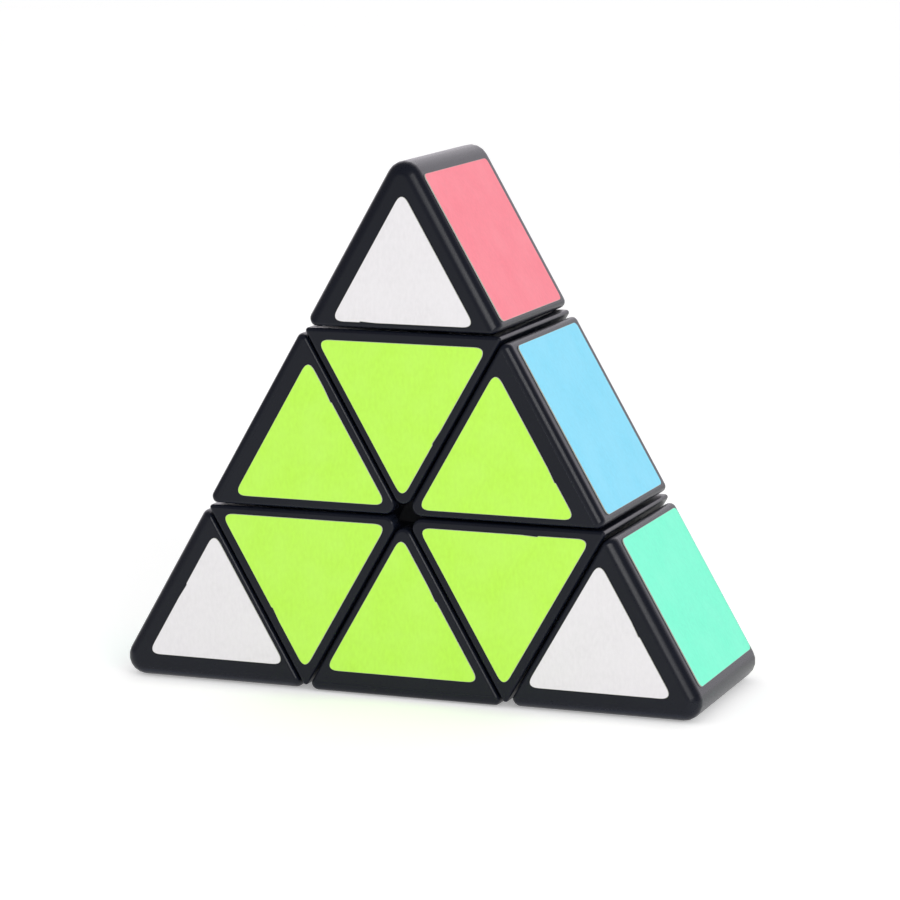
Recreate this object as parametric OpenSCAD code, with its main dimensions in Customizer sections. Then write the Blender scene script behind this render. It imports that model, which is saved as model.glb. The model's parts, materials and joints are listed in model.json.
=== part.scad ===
// Flat triangular twisty puzzle: three corner tips, three axial pieces and three
// side pieces turn about three axes that meet in a ball at the middle.
// The puzzle stands on one narrow side. X runs along that side, Y through the
// thickness (the front face looks towards -Y) and Z up. The origin is the
// bottom centre of the whole puzzle. Millimetres.

/* [Overall] */
// Length of each side of the triangle, measured to its sharp corners
side = 90; // [84:1:96]
// Thickness of the plastic, from front face to back face
thickness = 29.5; // [29:0.5:33]
// Rounding of the triangle's three outer corners
corner_r = 2.6; // [1.8:0.1:4]
// Rounding of a tip's other corners, next to the axial piece
heel_r = 1; // [0.5:0.1:1.4]
// Chamfer along the outer front and back edges of the tips
tip_bevel = 1.1; // [0.6:0.1:1.3]
// Chamfer along the outer front and back edges of the side pieces
cap_bevel = 0.7; // [0.4:0.1:1]

/* [Fits] */
// Space between the flat faces of two neighbouring pieces
gap = 0.3; // [0.2:0.05:0.4]
// Radial space between the ball, the feet and the outer pieces
shell_gap = 0.25; // [0.15:0.05:0.3]
// Space kept free on each side of a foot
foot_slack = 0.12; // [0.08:0.01:0.2]
// Radial space between a screw and the bores that turn on it
bore_slack = 0.08; // [0.03:0.01:0.1]

/* [Mechanism] */
// Radius of the ball at the centre
ball_r = 8; // [7.6:0.1:8.4]
// Outer radius of the feet that lock the side pieces in
foot_r = 12; // [11.6:0.1:12.2]
// Distance by which a foot reaches under its neighbours
undercut = 1.8; // [1.4:0.1:2]
// Radius of the screw tube inside an axial piece
tube_r = 3.2; // [2.6:0.1:3.6]

/* [Shells] */
// Wall thickness of the hollow pieces
wall = 1.8; // [1.5:0.1:2]
// Thickness of the cap that closes a side piece
cap_t = 1.4; // [1.4:0.1:1.8]
// Thickness of the plates that close the axial pieces and the tips
plate_t = 2.2; // [1.8:0.1:2.6]
// Rounding of the axial pieces' noses, which point at the middle
centre_r = 1.5; // [1.2:0.1:1.8]
// Rounding of the ribs that the axial pieces show on the sides, and of the side pieces' noses
rib_r = 0.4; // [0.3:0.05:0.5]

/* [Screws and springs] */
// Radius of the screw shank
screw_r = 1.5; // [1.3:0.1:1.6]
// Radius of the screw head
head_r = 2.8; // [2.5:0.1:3]
// Height of the screw head
head_h = 1.9; // [1.6:0.1:2.4]
// Thickness of the washer under the head
washer_t = 0.6; // [0.4:0.1:0.8]
// Height of the fitted spring
spring_h = 7; // [5:0.5:9]
// Radius of the spring's coil, to the middle of the wire
coil_r = 2.2; // [2.1:0.1:2.3]
// Radius of the spring's wire
wire_r = 0.3; // [0.2:0.05:0.35]
// Number of turns in the spring
coil_turns = 5; // [4:1:7]

/* [Stickers] */
// Thickness of a sticker
sticker_t = 0.15; // [0.1:0.05:0.3]
// Rounding of a sticker's corners
sticker_r = 1; // [0.6:0.1:1.6]
// Plastic left bare along the puzzle's outline, on the faces
outer_margin = 3.25; // [2.6:0.05:4]
// Plastic left bare along the gaps between the inner pieces, on the faces
inner_margin = 1.35; // [0.9:0.05:1.8]
// Plastic left bare on a tip next to its axial piece, on the faces
heel_margin = 0.9; // [0.6:0.1:1.6]
// Plastic left bare on a narrow side, next to a face
rim_margin = 2.35; // [2:0.05:3]
// Plastic left bare on a narrow side, next to a gap
side_margin = 1.9; // [1.4:0.1:2.6]
// Plastic left bare on a narrow side, next to an outer corner
corner_margin = 5.2; // [4.6:0.1:7]

/* [Hidden] */
TIP_NODES = ["tip_top_shell", "tip_top_base", "tip_left_shell", "tip_left_base",
    "tip_right_shell", "tip_right_base"];
AXIAL_NODES = ["axial_top_body", "axial_top_plate", "axial_left_body", "axial_left_plate",
    "axial_right_body", "axial_right_plate"];
EDGE_NODES = ["edge_left_body", "edge_left_cap", "edge_right_body", "edge_right_cap",
    "edge_bottom_body", "edge_bottom_cap"];
CORE_NODES = ["core_ball", "screw_top", "screw_left", "screw_right", "washer_top", "washer_left",
    "washer_right", "spring_top", "spring_left", "spring_right"];
TIP_STICKERS = ["sticker_tip_top_front", "sticker_tip_top_back", "sticker_tip_top_right",
    "sticker_tip_top_left", "sticker_tip_left_front", "sticker_tip_left_back",
    "sticker_tip_left_outer", "sticker_tip_left_bottom", "sticker_tip_right_front",
    "sticker_tip_right_back", "sticker_tip_right_outer", "sticker_tip_right_bottom"];
INNER_STICKERS = ["sticker_axial_top_front", "sticker_axial_top_back",
    "sticker_axial_left_front", "sticker_axial_left_back",
    "sticker_axial_right_front", "sticker_axial_right_back",
    "sticker_edge_left_front", "sticker_edge_left_back", "sticker_edge_left_side",
    "sticker_edge_right_front", "sticker_edge_right_back", "sticker_edge_right_side",
    "sticker_edge_bottom_front", "sticker_edge_bottom_back", "sticker_edge_bottom_side"];

$fn = 48;
ball_fn = 96;
bevel_fn = 4;
// Directions from the centre, measured from +X towards +Z
TOP = 90;
LEFT = 210;
RIGHT = 330;
EDGE_LEFT = 150;
EDGE_RIGHT = 30;
EDGE_BOTTOM = 270;
apothem = side / (2 * sqrt(3));
centre_z = apothem + sticker_t;
half_t = thickness / 2;
half_gap = gap / 2;
inner_r = ball_r + shell_gap;
outer_r = foot_r + shell_gap;
bore_r = screw_r + bore_slack;
screw_start = 2.6;
hub_wall = 3.2;
hollow_start = outer_r + hub_wall;
plug_slack = 0.05;
seat_t = 1.8;
spring_floor = apothem + half_gap + seat_t;
washer_start = spring_floor + spring_h;
head_start = washer_start + washer_t;
boss_h = 4;
boss_wall = 1.65;
spring_slack = 0.25;
pocket_r = coil_r + wire_r + spring_slack;
cap_end_r = 0.9;
side_sticker_r = 0.6;
sharp_r = 0.01;
play = 0.05;
overlap = 0.5;
far = 60;

black = [0.10, 0.11, 0.13];
steel = [0.72, 0.73, 0.75];
white = [0.93, 0.91, 0.92];
green = [0.55, 0.97, 0.14];
pink = [0.99, 0.30, 0.36];
blue = [0.30, 0.77, 0.99];
mint = [0.25, 1.00, 0.72];

function unit(v) = v / norm(v);

// Points of the arc that rounds corner b between its neighbours a and c
function corner_arc(a, b, c, r, steps = 5) =
    let (
        to_a = unit(a - b),
        to_c = unit(c - b),
        half = acos(to_a * to_c) / 2,
        middle = b + unit(to_a + to_c) * r / sin(half),
        from = b + to_a * r / tan(half) - middle,
        start = atan2(from[1], from[0]),
        sweep = 180 - 2 * half
    )
    [for (k = [0:steps])
        let (angle = start + sweep * k / steps)
        middle + r * [cos(angle), sin(angle)]];

// A convex outline, listed counter-clockwise, with each corner rounded by its own radius
function rounded(points, radii) =
    let (n = len(points))
    [for (i = [0:n - 1])
        each corner_arc(points[(i + n - 1) % n], points[i], points[(i + 1) % n], radii[i])];

// Wedge of 60 degrees with its point at the centre, moved in by inset all round but at the end
function wedge(end, inset) =
    let (half_w = end * tan(30) - inset / cos(30))
    [[0, 2 * inset], [half_w, end], [-half_w, end]];

// The same wedge cut off square at its near end
function cut_wedge(start, end, inset) =
    let (near = start * tan(30) - inset / cos(30), far_w = end * tan(30) - inset / cos(30))
    [[-near, start], [near, start], [far_w, end], [-far_w, end]];

// Corner triangle beyond the tip's cut
function tip_triangle(start, inset) =
    let (half_w = (2 * apothem - start) * tan(30) - inset / cos(30))
    [[-half_w, start], [half_w, start], [0, 2 * apothem - 2 * inset]];

// Puts a piece drawn along +Z from the centre onto its own direction
module place(angle) {
    translate([0, 0, centre_z]) rotate([0, 90 - angle, 0]) children();
}

// A prism through the thickness, from y0 to y1, with its outline in the XZ plane
module slab(points, y0, y1) {
    translate([0, y1, 0]) rotate([90, 0, 0]) linear_extrude(height = y1 - y0) polygon(points);
}

// Ball with three screw holes
module core_ball() {
    hole_slack = 0.02;
    bottom_slack = 0.3;
    hole_start = screw_start - bottom_slack;
    color(black) translate([0, 0, centre_z]) difference() {
        sphere(r = ball_r, $fn = ball_fn);
        for (angle = [TOP, LEFT, RIGHT])
            rotate([0, 90 - angle, 0]) translate([0, 0, hole_start])
                cylinder(r = screw_r + hole_slack, h = ball_r);
    }
}

// Pan-head screw with a cross recess
module screw(angle) {
    recess_l = 1.3 * head_r;
    recess_w = 0.8;
    recess_d = 1.1;
    recess_start = head_start + head_h - recess_d;
    color(steel) place(angle) difference() {
        union() {
            translate([0, 0, screw_start]) cylinder(r = screw_r, h = head_start - screw_start + overlap);
            translate([0, 0, head_start]) cylinder(r = head_r, h = head_h);
        }
        for (turn = [0, 90])
            rotate([0, 0, turn]) translate([-recess_l / 2, -recess_w / 2, recess_start])
                cube([recess_l, recess_w, recess_d + overlap]);
    }
}

// Flat washer between the spring and the screw head
module washer(angle) {
    rim = 0.1;
    washer_r = head_r + rim;
    color(steel) place(angle) translate([0, 0, washer_start]) difference() {
        cylinder(r = washer_r, h = washer_t);
        translate([0, 0, -overlap]) cylinder(r = bore_r, h = washer_t + 2 * overlap);
    }
}

// Compression spring, swept along its helix
module spring(angle) {
    wire_sides = 6;
    steps_a_turn = 14;
    steps = steps_a_turn * coil_turns;
    rise = spring_h - 2 * wire_r - 2 * play;
    ring_points = [for (i = [0:steps], k = [0:wire_sides - 1])
        let (
            turn = 360 * coil_turns * i / steps,
            around = 360 * k / wire_sides,
            r = coil_r + wire_r * cos(around),
            height = wire_r + rise * i / steps + wire_r * sin(around)
        )
        [r * cos(turn), r * sin(turn), height]];
    tube_faces = [for (i = [0:steps - 1], k = [0:wire_sides - 1])
        let (ring = i * wire_sides, above = ring + wire_sides, next = (k + 1) % wire_sides)
        [ring + k, ring + next, above + next, above + k]];
    near_end = [for (k = [wire_sides - 1:-1:0]) k];
    far_end = [for (k = [0:wire_sides - 1]) steps * wire_sides + k];
    color(steel) place(angle) translate([0, 0, spring_floor + play])
        polyhedron(points = ring_points, faces = concat(tube_faces, [near_end, far_end]));
}

// Bevels both long edges of one outer side of a tip; lean is -1 or 1
module tip_bevels(lean) {
    for (face = [-1, 1])
        translate([0, face * half_t, 2 * apothem]) rotate([0, lean * 30, 0])
            translate([0, 0, -far]) cylinder(r = tip_bevel, h = 2 * far, $fn = bevel_fn);
}

// Hollow corner shell, open where it meets its axial piece
module tip_shell(angle) {
    start = apothem + half_gap;
    inside_y = half_t - wall;
    hollow_r = max(corner_r - wall, heel_r / 2);
    color(black) place(angle) difference() {
        slab(rounded(tip_triangle(start, 0), [heel_r, heel_r, corner_r]), -half_t, half_t);
        slab(rounded(tip_triangle(start - overlap, wall), [rib_r, rib_r, hollow_r]), -inside_y, inside_y);
        tip_bevels(-1);
        tip_bevels(1);
    }
}

// Plate that closes the tip and carries the spring seat
module tip_base(angle) {
    start = apothem + half_gap;
    inset = wall + plug_slack;
    outline = tip_triangle(start, inset);
    half_w = outline[1][0];
    top_w = half_w - plate_t * tan(30);
    end = start + plate_t;
    side_y = half_t - inset;
    color(black) place(angle) difference() {
        union() {
            slab([[-half_w, start], [half_w, start], [top_w, end], [-top_w, end]], -side_y, side_y);
            translate([0, 0, start + overlap]) cylinder(r = pocket_r + boss_wall, h = boss_h);
        }
        translate([0, 0, start - overlap]) cylinder(r = bore_r, h = far);
        translate([0, 0, spring_floor]) cylinder(r = pocket_r, h = far);
    }
}

// Body of an axial piece: hollow wedge, screw tube and a narrow stem that reaches the ball
module axial_body(angle) {
    end = apothem - half_gap;
    inset = half_gap + wall;
    color(black) place(angle) difference() {
        slab(rounded(wedge(end, half_gap), [centre_r, rib_r, rib_r]), -half_t, half_t);
        sphere(r = inner_r, $fn = ball_fn);
        difference() {
            sphere(r = outer_r, $fn = ball_fn);
            slab(wedge(far, undercut + foot_slack), -half_t, half_t);
        }
        difference() {
            slab(cut_wedge(hollow_start, end + overlap, inset), wall - half_t, half_t - wall);
            cylinder(r = tube_r, h = end - plate_t);
        }
        cylinder(r = bore_r, h = far);
    }
}

// Plate that closes an axial piece and bears the turning tip
module axial_plate(angle) {
    end = apothem - half_gap;
    inset = half_gap + wall + plug_slack;
    side_y = half_t - wall - plug_slack;
    color(black) place(angle) difference() {
        slab(cut_wedge(end - plate_t, end, inset), -side_y, side_y);
        cylinder(r = bore_r, h = far);
    }
}

// Body of a side piece: hollow wedge with a foot that reaches under both neighbours
module edge_body(angle) {
    end = apothem - cap_t;
    inset = half_gap + wall;
    foot_start = undercut + foot_slack;
    color(black) place(angle) {
        difference() {
            slab(rounded(wedge(end, half_gap), [rib_r, sharp_r, sharp_r]), -half_t, half_t);
            sphere(r = inner_r, $fn = ball_fn);
            intersection() {
                sphere(r = outer_r, $fn = ball_fn);
                translate([-far / 2, -half_t, foot_start - far]) cube([far, thickness, far]);
            }
            slab(cut_wedge(hollow_start, end + overlap, inset), wall - half_t, half_t - wall);
        }
        intersection() {
            difference() {
                sphere(r = foot_r, $fn = ball_fn);
                sphere(r = inner_r, $fn = ball_fn);
            }
            slab(cut_wedge(foot_start, far, foot_slack - undercut), -half_t, half_t);
        }
    }
}

// Cap along the outer side of a side piece, with a lip that plugs into the body
module edge_cap(angle) {
    start = apothem - cap_t;
    half_w = apothem * tan(30) - half_gap / cos(30);
    near_w = half_w - cap_t * tan(30);
    outline = [[-near_w, start], [near_w, start], [half_w, apothem], [-half_w, apothem]];
    lip = 1.5;
    lip_inset = half_gap + wall + plug_slack;
    lip_y = half_t - wall - plug_slack;
    web_t = 0.2;
    recess_end = start - web_t;
    color(black) place(angle) difference() {
        union() {
            slab(rounded(outline, [sharp_r, sharp_r, cap_end_r, cap_end_r]), -half_t, half_t);
            slab(cut_wedge(start - lip, start + overlap, lip_inset), -lip_y, lip_y);
        }
        slab(cut_wedge(start - 2 * lip, recess_end, lip_inset + wall), wall - lip_y, lip_y - wall);
        for (face = [-1, 1])
            translate([-far, face * half_t, apothem]) rotate([0, 90, 0])
                cylinder(r = cap_bevel, h = 2 * far, $fn = bevel_fn);
    }
}

// A sticker on a face; toward is -1 for the front and 1 for the back
module face_sticker(angle, outline, toward) {
    y0 = toward < 0 ? -half_t - sticker_t : half_t;
    place(angle) slab(rounded(outline, [sticker_r, sticker_r, sticker_r]), y0, y0 + sticker_t);
}

// Face outline of a tip's sticker
function tip_sticker() =
    let (
        start = apothem + half_gap + heel_margin,
        half_w = (2 * apothem - start) * tan(30) - outer_margin / cos(30)
    )
    [[-half_w, start], [half_w, start], [0, 2 * apothem - 2 * outer_margin]];

// A sticker on a narrow side, from u0 to u1 along that side, which lies towards angle
module side_sticker(angle, u0, u1) {
    half_w = half_t - rim_margin;
    outline = [[u0, -half_w], [u1, -half_w], [u1, half_w], [u0, half_w]];
    place(angle) translate([0, 0, apothem]) linear_extrude(height = sticker_t)
        polygon(rounded(outline, [for (corner = outline) side_sticker_r]));
}

// Face sticker of a tip
module tip_face_sticker(angle, toward) {
    face_sticker(angle, tip_sticker(), toward);
}

// Face sticker of an axial piece
module axial_face_sticker(angle, toward) {
    face_sticker(angle, wedge(apothem - inner_margin - half_gap, inner_margin), toward);
}

// Face sticker of a side piece
module edge_face_sticker(angle, toward) {
    face_sticker(angle, wedge(apothem - outer_margin, inner_margin), toward);
}

// Side sticker of a tip; lean is 1 where the tip lies clockwise along that side, or -1
module tip_side_sticker(angle, lean) {
    near = side / 6 + side_margin;
    tip_end = side / 2 - corner_margin;
    side_sticker(angle, lean > 0 ? near : -tip_end, lean > 0 ? tip_end : -near);
}

// Side sticker of a side piece, in the middle of its side
module edge_side_sticker(angle) {
    half_u = side / 6 - side_margin;
    side_sticker(angle, -half_u, half_u);
}

// Centre
core_ball();
screw(TOP);  // screw_top
screw(LEFT);  // screw_left
screw(RIGHT);  // screw_right
washer(TOP);  // washer_top
washer(LEFT);  // washer_left
washer(RIGHT);  // washer_right
spring(TOP);  // spring_top
spring(LEFT);  // spring_left
spring(RIGHT);  // spring_right

// Tips
tip_shell(TOP);  // tip_top_shell
tip_base(TOP);  // tip_top_base
tip_shell(LEFT);  // tip_left_shell
tip_base(LEFT);  // tip_left_base
tip_shell(RIGHT);  // tip_right_shell
tip_base(RIGHT);  // tip_right_base

// Axial pieces
axial_body(TOP);  // axial_top_body
axial_plate(TOP);  // axial_top_plate
axial_body(LEFT);  // axial_left_body
axial_plate(LEFT);  // axial_left_plate
axial_body(RIGHT);  // axial_right_body
axial_plate(RIGHT);  // axial_right_plate

// Side pieces
edge_body(EDGE_LEFT);  // edge_left_body
edge_cap(EDGE_LEFT);  // edge_left_cap
edge_body(EDGE_RIGHT);  // edge_right_body
edge_cap(EDGE_RIGHT);  // edge_right_cap
edge_body(EDGE_BOTTOM);  // edge_bottom_body
edge_cap(EDGE_BOTTOM);  // edge_bottom_cap

// Stickers of the tips
color(white) tip_face_sticker(TOP, -1);  // sticker_tip_top_front
color(green) tip_face_sticker(TOP, 1);  // sticker_tip_top_back
color(pink) tip_side_sticker(EDGE_RIGHT, -1);  // sticker_tip_top_right
color(blue) tip_side_sticker(EDGE_LEFT, 1);  // sticker_tip_top_left
color(white) tip_face_sticker(LEFT, -1);  // sticker_tip_left_front
color(green) tip_face_sticker(LEFT, 1);  // sticker_tip_left_back
color(mint) tip_side_sticker(EDGE_LEFT, -1);  // sticker_tip_left_outer
color(pink) tip_side_sticker(EDGE_BOTTOM, 1);  // sticker_tip_left_bottom
color(white) tip_face_sticker(RIGHT, -1);  // sticker_tip_right_front
color(green) tip_face_sticker(RIGHT, 1);  // sticker_tip_right_back
color(mint) tip_side_sticker(EDGE_RIGHT, 1);  // sticker_tip_right_outer
color(blue) tip_side_sticker(EDGE_BOTTOM, -1);  // sticker_tip_right_bottom

// Stickers of the axial and side pieces
color(green) axial_face_sticker(TOP, -1);  // sticker_axial_top_front
color(white) axial_face_sticker(TOP, 1);  // sticker_axial_top_back
color(green) axial_face_sticker(LEFT, -1);  // sticker_axial_left_front
color(white) axial_face_sticker(LEFT, 1);  // sticker_axial_left_back
color(green) axial_face_sticker(RIGHT, -1);  // sticker_axial_right_front
color(white) axial_face_sticker(RIGHT, 1);  // sticker_axial_right_back
color(green) edge_face_sticker(EDGE_LEFT, -1);  // sticker_edge_left_front
color(white) edge_face_sticker(EDGE_LEFT, 1);  // sticker_edge_left_back
color(pink) edge_side_sticker(EDGE_LEFT);  // sticker_edge_left_side
color(green) edge_face_sticker(EDGE_RIGHT, -1);  // sticker_edge_right_front
color(white) edge_face_sticker(EDGE_RIGHT, 1);  // sticker_edge_right_back
color(blue) edge_side_sticker(EDGE_RIGHT);  // sticker_edge_right_side
color(green) edge_face_sticker(EDGE_BOTTOM, -1);  // sticker_edge_bottom_front
color(white) edge_face_sticker(EDGE_BOTTOM, 1);  // sticker_edge_bottom_back
color(mint) edge_side_sticker(EDGE_BOTTOM);  // sticker_edge_bottom_side
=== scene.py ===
import json
import math
import bpy
import bmesh
from mathutils import Matrix, Quaternion, Vector


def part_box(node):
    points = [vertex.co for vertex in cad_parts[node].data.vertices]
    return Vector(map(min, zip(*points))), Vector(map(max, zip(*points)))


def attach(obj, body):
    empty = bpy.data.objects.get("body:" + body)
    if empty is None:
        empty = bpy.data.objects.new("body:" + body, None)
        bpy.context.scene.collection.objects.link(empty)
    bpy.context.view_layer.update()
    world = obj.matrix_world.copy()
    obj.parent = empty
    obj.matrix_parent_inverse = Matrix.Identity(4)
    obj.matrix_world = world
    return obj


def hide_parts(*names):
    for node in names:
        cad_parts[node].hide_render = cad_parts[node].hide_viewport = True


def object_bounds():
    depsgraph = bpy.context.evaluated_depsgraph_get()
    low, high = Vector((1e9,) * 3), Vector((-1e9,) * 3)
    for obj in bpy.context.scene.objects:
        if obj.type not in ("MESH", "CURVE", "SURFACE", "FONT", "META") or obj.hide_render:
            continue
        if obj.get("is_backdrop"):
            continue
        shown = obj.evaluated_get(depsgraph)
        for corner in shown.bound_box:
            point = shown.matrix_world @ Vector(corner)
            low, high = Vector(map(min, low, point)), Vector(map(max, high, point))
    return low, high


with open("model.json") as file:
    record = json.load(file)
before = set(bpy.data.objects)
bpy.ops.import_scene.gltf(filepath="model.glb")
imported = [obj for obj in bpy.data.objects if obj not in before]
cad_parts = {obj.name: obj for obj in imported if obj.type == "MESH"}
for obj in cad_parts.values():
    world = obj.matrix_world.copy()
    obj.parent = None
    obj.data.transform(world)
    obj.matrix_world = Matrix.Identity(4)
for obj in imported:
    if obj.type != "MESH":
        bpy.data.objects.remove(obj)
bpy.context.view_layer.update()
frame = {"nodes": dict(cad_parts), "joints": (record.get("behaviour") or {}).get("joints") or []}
MM = 0.001

# ---------------------------------------------------------------------------
# Ball at the centre.
# One solid ball of dark nylon, turned smooth, with three holes for the screws.
# It stays still while everything else turns about it.
# ---------------------------------------------------------------------------


def blank_finish(name):
    """A new material to build a finish in, with its nodes, links, shader and object coordinates."""
    material = bpy.data.materials.new(name)
    material.use_nodes = True
    nodes = material.node_tree.nodes
    links = material.node_tree.links
    place = nodes.new("ShaderNodeTexCoord").outputs["Object"]
    return material, nodes, links, nodes["Principled BSDF"], place


def mottling(nodes, links, place, size, detail=2.0, stretch=(1, 1, 1)):
    """Soft spots of about this size, in metres; stretch draws them out along an axis."""
    mapping = nodes.new("ShaderNodeMapping")
    mapping.inputs["Scale"].default_value = [1 / (size * share) for share in stretch]
    links.new(place, mapping.inputs["Vector"])
    texture = nodes.new("ShaderNodeTexNoise")
    texture.inputs["Scale"].default_value = 1.0
    texture.inputs["Detail"].default_value = detail
    links.new(mapping.outputs["Vector"], texture.inputs["Vector"])
    return texture.outputs["Fac"]


def between(nodes, links, fac, low, high, from_low=0.3, from_high=0.7):
    """A number that runs from low to high as fac runs from from_low to from_high."""
    spread = nodes.new("ShaderNodeMapRange")
    spread.inputs["From Min"].default_value = from_low
    spread.inputs["From Max"].default_value = from_high
    spread.inputs["To Min"].default_value = low
    spread.inputs["To Max"].default_value = high
    links.new(fac, spread.inputs["Value"])
    return spread.outputs["Result"]


def blend_colours(nodes, links, fac, first, second):
    """Colour that runs from first to second with fac."""
    mix = nodes.new("ShaderNodeMix")
    mix.data_type = "RGBA"
    links.new(fac, mix.inputs["Factor"])
    for socket, colour in ((mix.inputs[6], first), (mix.inputs[7], second)):
        if isinstance(colour, bpy.types.NodeSocket):
            links.new(colour, socket)
        else:
            socket.default_value = (*colour, 1)
    return mix.outputs[2]


def relief(nodes, links, shader, height, depth):
    """Fine surface relief of this depth, in metres."""
    node = nodes.new("ShaderNodeBump")
    node.inputs["Strength"].default_value = 1.0
    node.inputs["Distance"].default_value = depth
    links.new(height, node.inputs["Height"])
    links.new(node.outputs["Normal"], shader.inputs["Normal"])


def moulded_plastic(name, colour, roughness, grain_depth):
    """Injection-moulded plastic: slow changes of tone, a fine mould grain and edges rubbed shinier."""
    cloud_size = 14 * MM
    grain_size = 0.22 * MM
    unevenness = 0.03
    polish = 0.06
    least_pointed = 0.51
    most_pointed = 0.62
    lighter = [1.3 * c + 0.001 for c in colour]
    rubbed = [1.5 * c + 0.002 for c in lighter]
    material, nodes, links, shader, place = blank_finish(name)
    shader.inputs["IOR"].default_value = 1.31
    cloudy = mottling(nodes, links, place, cloud_size)
    fine = mottling(nodes, links, place, grain_size, detail=3)
    body = blend_colours(nodes, links, between(nodes, links, cloudy, 0.0, 0.55), colour, lighter)
    pointed = nodes.new("ShaderNodeNewGeometry").outputs["Pointiness"]
    edge = between(nodes, links, pointed, 0, 1, least_pointed, most_pointed)
    links.new(blend_colours(nodes, links, edge, body, rubbed), shader.inputs["Base Color"])
    matt = between(nodes, links, fine, roughness - unevenness, roughness + unevenness)
    shine = nodes.new("ShaderNodeMath")
    shine.operation = "MULTIPLY_ADD"
    shine.inputs[1].default_value = -polish
    links.new(edge, shine.inputs[0])
    links.new(matt, shine.inputs[2])
    links.new(shine.outputs["Value"], shader.inputs["Roughness"])
    relief(nodes, links, shader, fine, grain_depth)
    return material


def dress(node, material):
    """Gives a node of the frame its finish."""
    mesh = frame["nodes"][node].data
    mesh.materials.clear()
    mesh.materials.append(material)


nylon = moulded_plastic("core_nylon", (0.045, 0.047, 0.052), roughness=0.42, grain_depth=0.004 * MM)
dress("core_ball", nylon)

# ---------------------------------------------------------------------------
# Screws.
# Pan-head screws of zinc-plated steel with a cross recess. Each is driven into
# the ball along one axis and holds an axial piece and its tip together.
# ---------------------------------------------------------------------------


def bare_steel(name, colour, roughness, grain_size, grain_depth, stretch=(1, 1, 1)):
    """Bright steel with a fine grain, drawn out where it is rolled, and a few duller patches."""
    patch_size = 2.5 * MM
    brightest = roughness - 0.08
    dullest = roughness + 0.12
    duller = [0.72 * c for c in colour]
    material, nodes, links, shader, place = blank_finish(name)
    lines = mottling(nodes, links, place, grain_size, stretch=stretch)
    patches = mottling(nodes, links, place, patch_size)
    tone = between(nodes, links, patches, 0.0, 0.8)
    links.new(blend_colours(nodes, links, tone, colour, duller), shader.inputs["Base Color"])
    links.new(between(nodes, links, lines, brightest, dullest), shader.inputs["Roughness"])
    shader.inputs["Metallic"].default_value = 1.0
    relief(nodes, links, shader, lines, grain_depth)
    return material


zinc = bare_steel("screw_zinc", (0.62, 0.62, 0.60), 0.26, grain_size=0.25 * MM, grain_depth=0.003 * MM)
for corner in ("top", "left", "right"):
    dress("screw_" + corner, zinc)

# ---------------------------------------------------------------------------
# Washers.
# Flat rings stamped from plain sheet steel. They keep the spring from biting
# into the screw head as the layers turn.
# ---------------------------------------------------------------------------
sheet_steel = bare_steel("washer_steel", (0.55, 0.55, 0.56), 0.34, 0.3 * MM, 0.003 * MM, stretch=(6, 6, 1))
for corner in ("top", "left", "right"):
    dress("washer_" + corner, sheet_steel)

# ---------------------------------------------------------------------------
# Springs.
# Compression springs coiled from drawn steel wire, one under each screw head.
# They press the tip and the axial piece towards the ball.
# ---------------------------------------------------------------------------
wire = bare_steel("spring_wire", (0.42, 0.42, 0.44), 0.3, grain_size=0.12 * MM, grain_depth=0.002 * MM)
for corner in ("top", "left", "right"):
    spring = frame["nodes"]["spring_" + corner]
    dress(spring.name, wire)
    spring.data.polygons.foreach_set("use_smooth", [True] * len(spring.data.polygons))

# ---------------------------------------------------------------------------
# Axial pieces.
# Three hollow wedges of black ABS with softly rounded rims, one on each axis,
# each closed by a plate. They are moulded in one shot and hold the screw tube.
# ---------------------------------------------------------------------------
CENTRE = Vector(frame["joints"][0]["pos_m"])
APOTHEM = CENTRE.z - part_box("edge_bottom_cap")[0].z
HALF_GAP = CENTRE.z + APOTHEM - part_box("axial_top_body")[1].z
HALF_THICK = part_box("tip_top_shell")[1].y
HALF_WEDGE = math.radians(30)
# Directions of the three axes from the centre, measured from the right and upwards
DIRECTIONS = {"top": 90, "left": 210, "right": 330}
# Roundings of the rims, of the nose at the centre and of the ribs on the narrow sides
RIM = 0.5 * MM
NOSE = 1.4 * MM
RIB = 0.42 * MM
# How far each rounded piece stays inside the plain one that it replaces
SKIN = 0.01 * MM


def round_outline(corners, insets, radii, steps=6):
    """A convex outline, counter-clockwise, with its sides moved in and its corners rounded.

    Side i runs from corner i to the next one and moves in by insets[i]."""
    count = len(corners)
    sides = []
    for i, inset in enumerate(insets):
        a = Vector(corners[i])
        b = Vector(corners[(i + 1) % count])
        out = Vector((b.y - a.y, a.x - b.x)).normalized()
        sides.append((out, out.dot(a) - inset))
    points = []
    for i in range(count):
        (out_a, reach_a), (out_b, reach_b) = sides[i - 1], sides[i]
        cross = out_a.x * out_b.y - out_a.y * out_b.x
        meeting = Vector((reach_a * out_b.y - reach_b * out_a.y, out_a.x * reach_b - out_b.x * reach_a))
        corner = meeting / cross
        turn = out_a.angle(out_b)
        radius = max(radii[i] - (insets[i - 1] + insets[i]) / 2, SKIN)
        middle = corner - (out_a + out_b).normalized() * radius / math.cos(turn / 2)
        start = math.atan2(out_a.y, out_a.x)
        for k in range(steps + 1):
            angle = start + turn * k / steps
            points.append(middle + radius * Vector((math.cos(angle), math.sin(angle))))
    return points


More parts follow.
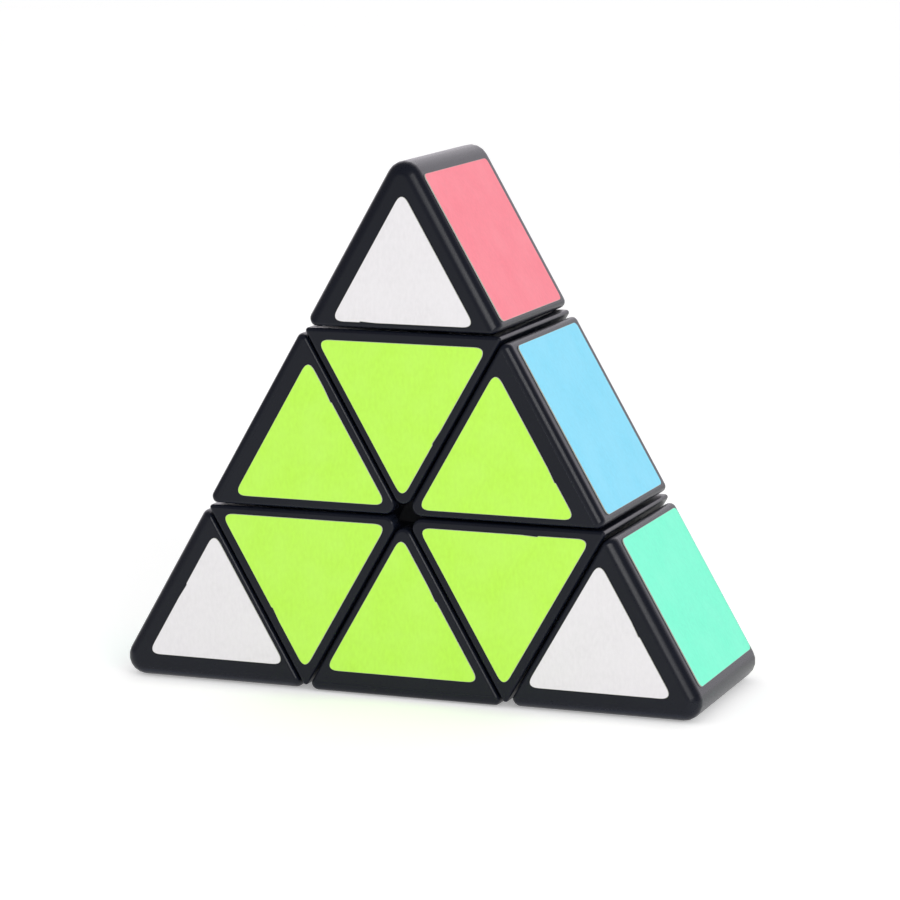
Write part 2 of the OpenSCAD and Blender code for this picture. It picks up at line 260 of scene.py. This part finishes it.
def lofted(name, levels):
    """A closed solid through outlines at several depths; each level is a depth and an outline."""
    mesh = bpy.data.meshes.new(name)
    piece = bpy.data.objects.new(name, mesh)
    bpy.context.scene.collection.objects.link(piece)
    form = bmesh.new()
    rings = [[form.verts.new((p.x, depth, p.y)) for p in outline] for depth, outline in levels]
    for ring, after in zip(rings, rings[1:]):
        for k in range(len(ring)):
            form.faces.new((ring[k - 1], after[k - 1], after[k], ring[k]))
    form.faces.new(rings[0])
    form.faces.new(reversed(rings[-1]))
    bmesh.ops.recalc_face_normals(form, faces=form.faces)
    form.to_mesh(mesh)
    form.free()
    return piece


def rounded_block(name, corners, radii, fillets, half_depth=None, steps=9):
    """A prism through the thickness whose rims are rounded, each side by its own fillet."""
    half_depth = half_depth or HALF_THICK - SKIN
    deepest = max(fillets)
    # Each rim is a quarter circle, so a side moves in less the deeper the outline lies
    rims = []
    for k in range(steps + 1):
        drop = deepest * (1 - math.cos(math.pi / 2 * k / steps))
        insets = [r - math.sqrt(r * r - max(r - drop, 0) ** 2) for r in fillets]
        rims.append((drop, round_outline(corners, insets, radii)))
    front = [(drop - half_depth, outline) for drop, outline in rims]
    back = [(half_depth - drop, outline) for drop, outline in reversed(rims)]
    return lofted(name, front + back)


def on_direction(angle):
    """Moves a piece drawn upwards from the origin onto its own direction from the puzzle's centre."""
    return Matrix.Translation(CENTRE) @ Matrix.Rotation(math.radians(90 - angle), 4, "Y")


def placed(pattern, name, angle):
    """A copy of a pattern piece, named and turned onto its own direction."""
    piece = bpy.data.objects.new(name, pattern.data.copy())
    piece.data.name = name
    piece.data.transform(on_direction(angle))
    bpy.context.scene.collection.objects.link(piece)
    return piece


def combine(piece, tool, operation):
    """Cuts piece with tool, or joins or trims it, and throws the tool away."""
    change = piece.modifiers.new("combine", "BOOLEAN")
    change.operation = operation
    change.solver = "EXACT"
    change.object = tool
    bpy.context.view_layer.update()
    seen = piece.evaluated_get(bpy.context.evaluated_depsgraph_get())
    mesh = bpy.data.meshes.new_from_object(seen)
    piece.modifiers.clear()
    piece.data = mesh
    bpy.data.objects.remove(tool)


def whole_copy(node):
    """A copy of a node of the frame with its split edges joined, ready for cutting."""
    copy = bpy.data.objects.new(node + "_copy", frame["nodes"][node].data.copy())
    bpy.context.scene.collection.objects.link(copy)
    form = bmesh.new()
    form.from_mesh(copy.data)
    bmesh.ops.remove_doubles(form, verts=form.verts, dist=0.0001 * MM)
    form.to_mesh(copy.data)
    form.free()
    return copy


def closed_volume(mesh):
    """Volume of a mesh, or 0 if it has an open edge."""
    form = bmesh.new()
    form.from_mesh(mesh)
    volume = form.calc_volume() if all(edge.is_manifold for edge in form.edges) else 0
    form.free()
    return volume


def hollow_out(make_block, node, angle):
    """A rounded block with the inside of a node of the frame, whose direction is angle.

    A cut along nearly touching surfaces can fail, so a failed one is tried again a hair smaller."""
    least_left = 0.9
    most_left = 0.999
    for smaller in (1, 1.4, 1.8, 2.2):
        piece = make_block(SKIN * smaller)
        solid = whole_copy(node)
        solid.data.transform(on_direction(angle).inverted())
        full = closed_volume(solid.data)
        combine(piece, solid, "INTERSECT")
        if least_left * full < closed_volume(piece.data) < most_left * full:
            return piece
        bpy.data.objects.remove(piece)
    raise ValueError(node + " could not be hollowed out")


def fit_shell(piece, material, body, node):
    """Gives a shell its surface, keeps its flat faces flat and puts it in the place of its node."""
    crease = math.radians(32)
    mesh = piece.data
    mesh.materials.clear()
    mesh.materials.append(material)
    mesh.polygons.foreach_set("material_index", [0] * len(mesh.polygons))
    mesh.polygons.foreach_set("use_smooth", [True] * len(mesh.polygons))
    mesh.set_sharp_from_angle(angle=crease)
    weighted = piece.modifiers.new("flat_faces", "WEIGHTED_NORMAL")
    weighted.keep_sharp = True
    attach(piece, body)
    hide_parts(node)


def wedge(end, inset):
    """Wedge with its point near the centre, seen from the front."""
    half_width = end * math.tan(HALF_WEDGE) - inset / math.cos(HALF_WEDGE)
    return [(0, 2 * inset), (half_width, end), (-half_width, end)]


abs_black = moulded_plastic("black_abs", (0.0030, 0.0042, 0.0088), roughness=0.3, grain_depth=0.0008 * MM)


def axial_block(skin):
    """The outside of an axial piece, with every rim rounded."""
    corners = wedge(APOTHEM - HALF_GAP - skin, HALF_GAP + skin)
    return rounded_block("axial", corners, [NOSE, RIB, RIB], [RIM, RIM, RIM], HALF_THICK - skin)


pattern = hollow_out(axial_block, "axial_top_body", DIRECTIONS["top"])
for corner, angle in DIRECTIONS.items():
    body = "axial_" + corner
    fit_shell(placed(pattern, body + "_shell", angle), abs_black, body, body + "_body")
    dress(body + "_plate", abs_black)
bpy.data.objects.remove(pattern)

# ---------------------------------------------------------------------------
# Tips.
# Three hollow corner shells of the same black ABS with generously rounded outer
# rims. A plate with the spring seat is pressed into the open side of each.
# ---------------------------------------------------------------------------
CORNER = 2 * APOTHEM + CENTRE.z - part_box("tip_top_shell")[1].z
WALL = HALF_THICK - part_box("tip_top_base")[1].y
TIP_RIM = 1.9 * MM
TIP_HEEL = 1.0 * MM


def tip_triangle(start, inset):
    """The corner triangle beyond a tip's cut, seen from the front."""
    half_width = (2 * APOTHEM - start) * math.tan(HALF_WEDGE) - inset / math.cos(HALF_WEDGE)
    return [(-half_width, start), (half_width, start), (0, 2 * APOTHEM - 2 * inset)]


outside = tip_triangle(APOTHEM + HALF_GAP + SKIN, SKIN)
inside = tip_triangle(APOTHEM, WALL)
pattern = rounded_block("tip", outside, [TIP_HEEL, TIP_HEEL, CORNER], [RIM, TIP_RIM, TIP_RIM])
hollow = rounded_block("hollow", inside, [RIB, RIB, CORNER - WALL], [SKIN] * 3, HALF_THICK - WALL, steps=2)
combine(pattern, hollow, "DIFFERENCE")
for corner, angle in DIRECTIONS.items():
    body = "tip_" + corner
    fit_shell(placed(pattern, body + "_outside", angle), abs_black, body, body + "_shell")
    dress(body + "_base", abs_black)
bpy.data.objects.remove(pattern)

# ---------------------------------------------------------------------------
# Side pieces.
# Each is a hollow black wedge with a foot under its neighbours, closed along the
# outside by a pressed-on cap of the same ABS, with hardly a seam between them.
# ---------------------------------------------------------------------------
SIDE_DIRECTIONS = {"left": 150, "right": 30, "bottom": 270}
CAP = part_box("edge_bottom_body")[0].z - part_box("edge_bottom_cap")[0].z
# The foot fits in a block that starts and ends this far from the centre
FOOT_START = 2.1 * MM
FOOT = 12.2 * MM
SEAM = 0.03 * MM
CAP_RIM = 1.2 * MM
CAP_END = 0.9 * MM


def side_block(skin):
    """The outside of a side piece, with every rim rounded, and room for its foot."""
    corners = wedge(APOTHEM - CAP, HALF_GAP + skin)
    piece = rounded_block("side", corners, [NOSE, skin, skin], [RIM, SEAM, RIM], HALF_THICK - skin)
    around_foot = [(-FOOT, FOOT_START), (FOOT, FOOT_START), (FOOT, FOOT), (-FOOT, FOOT)]
    foot = rounded_block("foot", around_foot, [SEAM] * 4, [SEAM] * 4, FOOT, steps=2)
    combine(piece, foot, "UNION")
    return piece


pattern = hollow_out(side_block, "edge_bottom_body", SIDE_DIRECTIONS["bottom"])
near = wedge(APOTHEM - CAP, HALF_GAP + SKIN)
far = wedge(APOTHEM - SKIN, HALF_GAP + SKIN)
cap_corners = [near[2], near[1], far[1], far[2]]
cap_pattern = rounded_block("cap", cap_corners, [SKIN, SKIN, CAP_END, CAP_END], [SEAM, RIM, CAP_RIM, RIM])
for corner, angle in SIDE_DIRECTIONS.items():
    body = "edge_" + corner
    fit_shell(placed(pattern, body + "_wedge", angle), abs_black, body, body + "_body")
    fit_shell(placed(cap_pattern, body + "_side_cap", angle), abs_black, body, body + "_cap")
bpy.data.objects.remove(pattern)
bpy.data.objects.remove(cap_pattern)

# ---------------------------------------------------------------------------
# Stickers on the two faces.
# Triangles die-cut from printed vinyl film and stuck on. The corners are softly
# rounded, the cut edge shows the greyer core, and one side keeps the die's nick.
# ---------------------------------------------------------------------------
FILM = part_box("sticker_edge_bottom_side")[1].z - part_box("sticker_edge_bottom_side")[0].z
COLOURS = {
    "white": (0.73, 0.71, 0.73),
    "green": (0.46, 0.84, 0.062),
    "pink": (0.90, 0.195, 0.25),
    "blue": (0.20, 0.68, 0.90),
    "mint": (0.158, 0.92, 0.62),
}


def printed_film(name, colour):
    """Printed vinyl film: a fine matt grain, mottled and slightly uneven ink and faint fingermarks."""
    grain_size = 0.16 * MM
    grain_depth = 0.0025 * MM
    mottle_size = 0.45 * MM
    cloud_size = 5 * MM
    smear_width = 2.5 * MM
    shiniest = 0.5
    dullest = 0.56
    deeper = [0.9 * c for c in colour]
    paler = [c + 0.05 * (1 - c) for c in colour]
    material, nodes, links, shader, place = blank_finish(name)
    fine = mottling(nodes, links, place, grain_size)
    mottled = mottling(nodes, links, place, mottle_size, detail=3, stretch=(1, 1, 2))
    uneven = mottling(nodes, links, place, cloud_size, detail=3)
    smear = mottling(nodes, links, place, smear_width, stretch=(1, 1, 4))
    speckled = blend_colours(nodes, links, between(nodes, links, mottled, 0, 0.7), colour, deeper)
    tone = between(nodes, links, uneven, 0.0, 0.5)
    links.new(blend_colours(nodes, links, tone, speckled, paler), shader.inputs["Base Color"])
    links.new(between(nodes, links, smear, shiniest, dullest), shader.inputs["Roughness"])
    relief(nodes, links, shader, fine, grain_depth)
    return material


films = {colour: printed_film("film_" + colour, value) for colour, value in COLOURS.items()}
film_core = printed_film("film_core", (0.42, 0.43, 0.38))


def sticker_outline(corners, reach, nick_side=None, nick_at=0, steps=7):
    """Outline whose sides start to bend a distance reach before each corner.

    A nicked side has one shallow step in it, which runs out along the side."""
    nick = 0.13 * MM
    run_out = 18 * nick
    points = []
    for i, corner in enumerate(corners):
        corner = Vector(corner)
        before = corner + (Vector(corners[i - 1]) - corner).normalized() * reach
        after = corner + (Vector(corners[(i + 1) % len(corners)]) - corner).normalized() * reach
        for k in range(steps + 1):
            t = k / steps
            points.append((1 - t) ** 2 * before + 2 * t * (1 - t) * corner + t * t * after)
        if i == nick_side:
            side = Vector(corners[(i + 1) % len(corners)]) - corner
            along = side.normalized()
            inward = Vector((-along.y, along.x))
            middle = corner + side * nick_at
            points += [middle, middle + nick * (inward + along), middle + run_out * along]
    return points


def shrink(outline, inset):
    """The same outline moved in by inset all round."""
    moved = []
    for i, point in enumerate(outline):
        along = (outline[(i + 1) % len(outline)] - outline[i - 1]).normalized()
        moved.append(point + inset * Vector((-along.y, along.x)))
    return moved


def cut_film(name, outline):
    """A sticker lying flat, from depth 0 up to the film's thickness, with its cut edge rounded over."""
    lip = 0.05 * MM
    flat = 0.9
    levels = [(0, outline), (-(FILM - lip), outline)]
    for share in (0.5, 1.0):
        depth = FILM - lip + lip * math.sin(share * math.pi / 2)
        levels.append((-depth, shrink(outline, lip * share)))
    piece = lofted(name, list(reversed(levels)))
    piece.data.polygons.foreach_set("material_index", [abs(f.normal.y) < flat for f in piece.data.polygons])
    return piece


def stick(piece, colour, body, node):
    """Gives a sticker its print and its core and puts it in the place of its node."""
    crease = math.radians(50)
    piece.data.materials.append(films[colour])
    piece.data.materials.append(film_core)
    piece.data.polygons.foreach_set("use_smooth", [True] * len(piece.data.polygons))
    piece.data.set_sharp_from_angle(angle=crease)
    piece.modifiers.new("flat_faces", "WEIGHTED_NORMAL").keep_sharp = True
    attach(piece, body)
    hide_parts(node)


# Plastic left bare along the outline, between the inner pieces and next to a tip's heel
OUTER_MARGIN = 3.25 * MM
INNER_MARGIN = 1.35 * MM
HEEL_MARGIN = 0.9 * MM
REACH = 1.9 * MM
OUTLINES = {
    "tip": tip_triangle(APOTHEM + HALF_GAP + HEEL_MARGIN, OUTER_MARGIN),
    "axial": wedge(APOTHEM - HALF_GAP - INNER_MARGIN, INNER_MARGIN),
    "edge": wedge(APOTHEM - OUTER_MARGIN, INNER_MARGIN),
}
FACE_COLOURS = {
    ("tip", "front"): "white",
    ("tip", "back"): "green",
    ("axial", "front"): "green",
    ("axial", "back"): "white",
    ("edge", "front"): "green",
    ("edge", "back"): "white",
}
# Where along its side each sticker is nicked, in the order of the pieces
NICKS = {"tip": (0.2, 0.42, 0.45), "axial": (0.36, 0.6, 0.3), "edge": (0.7, 0.25, 0.55)}
# How far across and up each front sticker was stuck off its place
ASKEW = {
    "tip_top": (0.2 * MM, -0.1 * MM),
    "tip_left": (0.1 * MM, 0.2 * MM),
    "axial_top": (0, -0.2 * MM),
    "axial_left": (0, 0.1 * MM),
    "edge_left": (0, 0.1 * MM),
    "edge_right": (-0.1 * MM, -0.2 * MM),
    "edge_bottom": (-0.2 * MM, 0),
}
for (kind, face), colour in FACE_COLOURS.items():
    directions = SIDE_DIRECTIONS if kind == "edge" else DIRECTIONS
    for turn, (corner, angle) in enumerate(directions.items()):
        body = f"{kind}_{corner}"
        outline = sticker_outline(OUTLINES[kind], REACH, turn, NICKS[kind][turn])
        piece = cut_film(f"{body}_{face}_film", outline)
        across, up = ASKEW.get(body, (0, 0)) if face == "front" else (0, 0)
        piece.data.transform(Matrix.Translation((0, -HALF_THICK, 0)))
        if face == "back":
            piece.data.transform(Matrix.Rotation(math.pi, 4, "Z"))
        piece.data.transform(Matrix.Translation((across, 0, up)) @ on_direction(angle))
        stick(piece, colour, body, f"sticker_{body}_{face}")

# ---------------------------------------------------------------------------
# Stickers on the narrow sides.
# Rounded rectangles cut from the same film. A tip has two of them and each side
# piece has one, so every narrow side shows three colours.
# ---------------------------------------------------------------------------
# Plastic left bare next to a face, next to a gap and next to an outer corner
RIM_MARGIN = 2.35 * MM
END_MARGIN = 1.9 * MM
CORNER_MARGIN = 5.2 * MM
SIDE_REACH = 0.95 * MM
# A sixth of the puzzle's side, which is half of one piece's width there
SIXTH = APOTHEM / math.sqrt(3)
ON_EDGE = (-SIXTH + END_MARGIN, SIXTH - END_MARGIN)
AHEAD = (SIXTH + END_MARGIN, 3 * SIXTH - CORNER_MARGIN)
BEHIND = (-AHEAD[1], -AHEAD[0])
# Body, sticker, side, colour, span along that side and how far it was stuck towards the back
SIDE_STICKERS = [
    ("tip_top", "right", "right", "pink", BEHIND, -0.6 * MM),
    ("edge_right", "side", "right", "blue", ON_EDGE, 0),
    ("tip_right", "outer", "right", "mint", AHEAD, 0.3 * MM),
    ("tip_top", "left", "left", "blue", AHEAD, 0),
    ("edge_left", "side", "left", "pink", ON_EDGE, 0),
    ("tip_left", "outer", "left", "mint", BEHIND, 0),
    ("tip_left", "bottom", "bottom", "pink", AHEAD, 0),
    ("edge_bottom", "side", "bottom", "mint", ON_EDGE, 0),
    ("tip_right", "bottom", "bottom", "blue", BEHIND, 0),
]
half_width = HALF_THICK - RIM_MARGIN
for body, name, side, colour, (low, high), askew in SIDE_STICKERS:
    corners = [(low, -half_width), (high, -half_width), (high, half_width), (low, half_width)]
    piece = cut_film(f"{body}_{name}_film", sticker_outline(corners, SIDE_REACH))
    piece.data.transform(Matrix.Translation((0, askew, APOTHEM)) @ Matrix.Rotation(-math.pi / 2, 4, "X"))
    piece.data.transform(on_direction(SIDE_DIRECTIONS[side]))
    stick(piece, colour, body, f"sticker_{body}_{name}")

# ---------------------------------------------------------------------------
# Camera.
# It looks slightly down on the puzzle from its front right, from about half a
# metre away, with a long lens.
# ---------------------------------------------------------------------------
azimuth = math.radians(20.7)
elevation = math.radians(10.1)
roll = math.radians(-0.22)
distance = 509.5 * MM
# The point that it looks at, just right of the puzzle's middle and below it
target = Vector((1.5 * MM, 0, 33 * MM + FILM))
level = math.cos(elevation)
towards = Vector((math.sin(azimuth) * level, -math.cos(azimuth) * level, math.sin(elevation)))
camera = bpy.data.objects.new("camera", bpy.data.cameras.new("camera"))
bpy.context.scene.collection.objects.link(camera)
camera.data.sensor_width = 36
camera.data.lens = 143.6
camera.data.clip_start = 0.01
camera.data.clip_end = 10
right = Vector((0, 0, 1)).cross(towards).normalized()
up = towards.cross(right)
across = right * math.cos(roll) + up * math.sin(roll)
upright = towards.cross(across)
turned = Matrix((across, upright, towards)).transposed().to_4x4()
camera.matrix_world = Matrix.Translation(target + towards * distance) @ turned
bpy.context.scene.camera = camera

# ---------------------------------------------------------------------------
# Studio.
# A pale floor in a soft white surround that is brighter behind the puzzle, and one
# long softbox at the front right, tilted to draw the highlight along the rims.
# ---------------------------------------------------------------------------
FLOOR_REACH = 3.0
# The floor lies a hair under the puzzle, so that the two don't share a plane
FLOOR_DROP = 0.02 * MM
floor_form = bmesh.new()
bmesh.ops.create_grid(floor_form, x_segments=1, y_segments=1, size=FLOOR_REACH)
floor = bpy.data.objects.new("floor", bpy.data.meshes.new("floor"))
floor_form.to_mesh(floor.data)
floor_form.free()
floor.location.z = -FLOOR_DROP
bpy.context.scene.collection.objects.link(floor)
floor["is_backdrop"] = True
material, nodes, links, shader, place = blank_finish("pale_floor")
pale = (0.93, 0.93, 0.93)
duller = (0.91, 0.91, 0.91)
cloud_size = 0.2
tone = between(nodes, links, mottling(nodes, links, place, cloud_size), 0.0, 1.0)
links.new(blend_colours(nodes, links, tone, pale, duller), shader.inputs["Base Color"])
shader.inputs["Roughness"].default_value = 0.9
shader.inputs["Specular IOR Level"].default_value = 0.2
shader.inputs["Emission Color"].default_value = (1, 1, 1, 1)
shader.inputs["Emission Strength"].default_value = 0.32
floor.data.materials.append(material)

world = bpy.data.worlds.new("studio")
bpy.context.scene.world = world
world.use_nodes = True
nodes, links = world.node_tree.nodes, world.node_tree.links


def surround(colour, strength):
    """One even shade of the white room round the puzzle."""
    node = nodes.new("ShaderNodeBackground")
    node.inputs["Color"].default_value = (*colour, 1)
    node.inputs["Strength"].default_value = strength
    return node.outputs["Background"]


def swap(fac, first, second):
    """Shows first where fac is 0 and second where it is 1."""
    node = nodes.new("ShaderNodeMixShader")
    links.new(fac, node.inputs["Fac"])
    links.new(first, node.inputs[1])
    links.new(second, node.inputs[2])
    return node.outputs["Shader"]


# The sheen shows dim walls and a bright rear; all else is lit by an even white room
rays = nodes.new("ShaderNodeLightPath")
direction = nodes.new("ShaderNodeSeparateXYZ")
links.new(nodes.new("ShaderNodeTexCoord").outputs["Generated"], direction.inputs["Vector"])
rear = between(nodes, links, direction.outputs["Y"], 0.0, 1.0, from_low=0.35, from_high=0.75)
dim_walls = surround((1.0, 0.93, 1.0), 0.3)
bright_rear = surround((0.98, 0.94, 1.0), 1.6)
mirrored = swap(rear, dim_walls, bright_rear)
room = swap(rays.outputs["Is Glossy Ray"], surround((1, 1, 1), 0.74), mirrored)
shown = swap(rays.outputs["Is Camera Ray"], room, surround((1, 1, 1), 1.0))
links.new(shown, nodes["World Output"].inputs["Surface"])


def softbox(name, direction, reach, width, height, strength, tilt):
    """A soft rectangular light that faces the puzzle and is tilted, in degrees, about its own axis."""
    lamp = bpy.data.lights.new(name, "AREA")
    lamp.shape = "RECTANGLE"
    lamp.size = width
    lamp.size_y = height
    lamp.energy = strength * width * height * math.pi
    light = bpy.data.objects.new(name, lamp)
    away = Vector(direction).normalized()
    light.location = target + away * reach
    light.rotation_mode = "QUATERNION"
    light.rotation_quaternion = away.to_track_quat("Z", "Y") @ Quaternion((0, 0, 1), math.radians(tilt))
    light.visible_camera = False
    bpy.context.scene.collection.objects.link(light)


softbox("key", (0.60, -0.72, 0.35), reach=0.9, width=0.6, height=0.14, strength=11.0, tilt=30)
bpy.context.scene.view_settings.view_transform = "Standard"
bpy.context.scene.view_settings.look = "None"

low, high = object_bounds()
